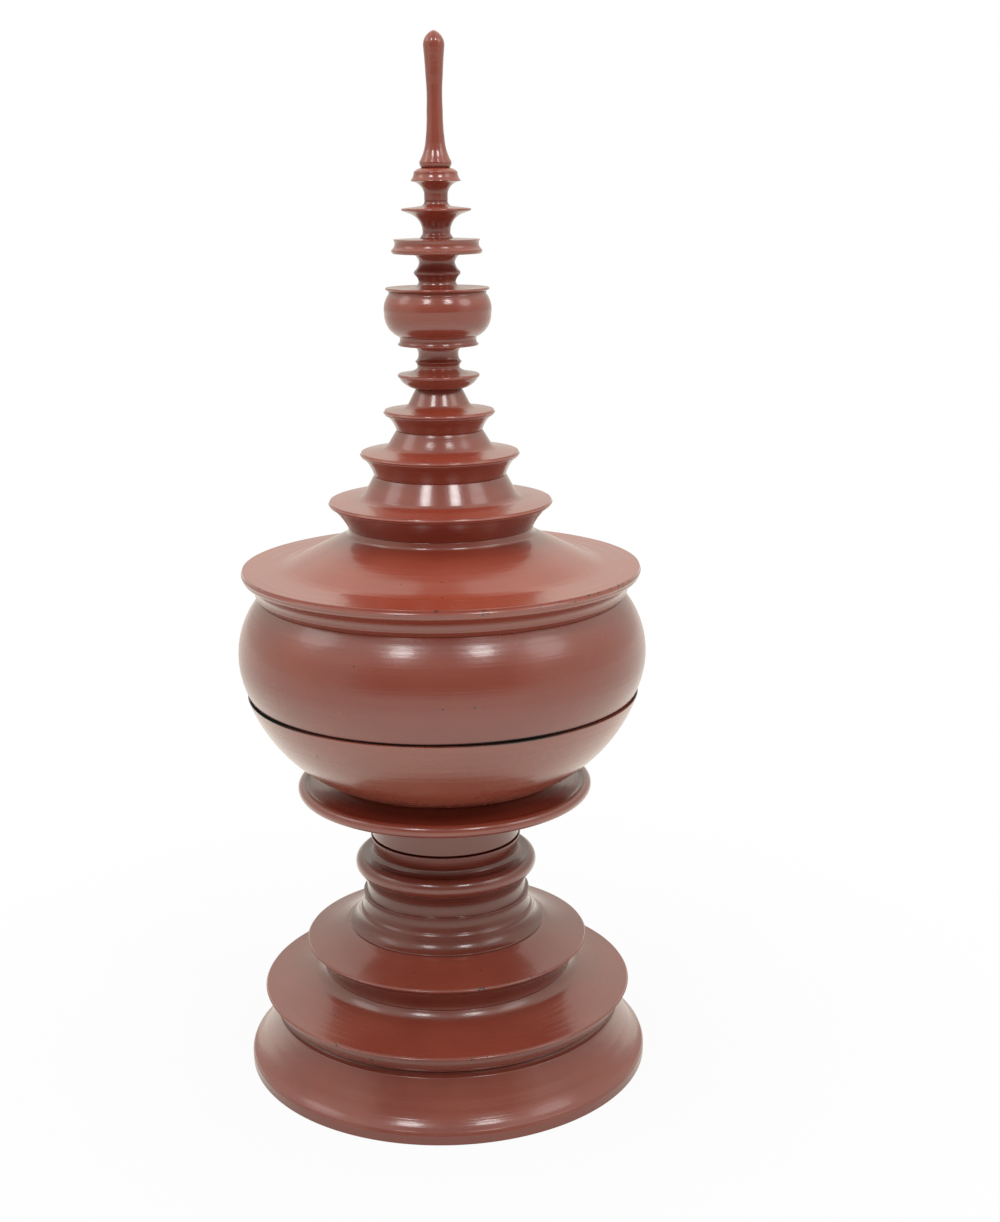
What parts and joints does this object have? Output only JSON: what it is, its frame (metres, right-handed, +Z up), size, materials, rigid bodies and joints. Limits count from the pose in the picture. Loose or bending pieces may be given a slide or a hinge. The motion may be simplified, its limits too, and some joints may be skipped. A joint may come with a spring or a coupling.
{
  "type": "offering vessel",
  "caption": "Tall round lacquered offering vessel: a bowl on a stepped pedestal, with a lift-out tray and a tiered lid that ends in a slender removable spire and finial",
  "frame": {"origin": "centre of the circle that the foot stands on, at floor level", "axes": "+Z up along the axis that every piece is turned about; X and Y are any two level directions"},
  "size_m": [0.214, 0.214, 0.5333],
  "materials": {
    "red_lacquer": "glossy cinnabar lacquer over turned wood and coiled bamboo",
    "black_lacquer": "glossy black lacquer over bent bamboo"
  },
  "bodies": {
    "pedestal": {"foot_ring": "red_lacquer", "lower_base_tier": "red_lacquer", "upper_base_tier": "red_lacquer", "pedestal_stem": "red_lacquer", "stem_collar": "red_lacquer"},
    "bowl": {"bowl_foot": "red_lacquer", "bowl_saucer": "red_lacquer", "bowl_shell": "red_lacquer", "bowl_rim": "black_lacquer"},
    "tray": {"tray_pan": "black_lacquer", "tray_rim": "black_lacquer"},
    "lid": {"lid_dome": "red_lacquer", "lid_roof": "red_lacquer", "lid_tier_lower": "red_lacquer", "lid_tier_middle": "red_lacquer", "lid_tier_upper": "red_lacquer"},
    "spire": {"spire_foot": "red_lacquer", "alms_bowl": "red_lacquer", "alms_bowl_cover": "red_lacquer", "double_ring": "red_lacquer", "spire_disc": "red_lacquer"},
    "finial": {"finial_collar": "red_lacquer", "finial_bud": "red_lacquer"}
  },
  "joints": [
    {"name": "bowl_lift", "type": "slide", "parent": "pedestal", "child": "bowl", "axis": [0, 0, 1], "range_m": [0, 0.06]},
    {"name": "tray_lift", "type": "slide", "parent": "bowl", "child": "tray", "axis": [0, 0, 1], "range_m": [0, 0.05]},
    {"name": "lid_lift", "type": "slide", "parent": "tray", "child": "lid", "axis": [0, 0, 1], "range_m": [0, 0.12]},
    {"name": "spire_lift", "type": "slide", "parent": "lid", "child": "spire", "axis": [0, 0, 1], "range_m": [0, 0.05]},
    {"name": "finial_lift", "type": "slide", "parent": "spire", "child": "finial", "axis": [0, 0, 1], "range_m": [0, 0.03]}
  ]
}
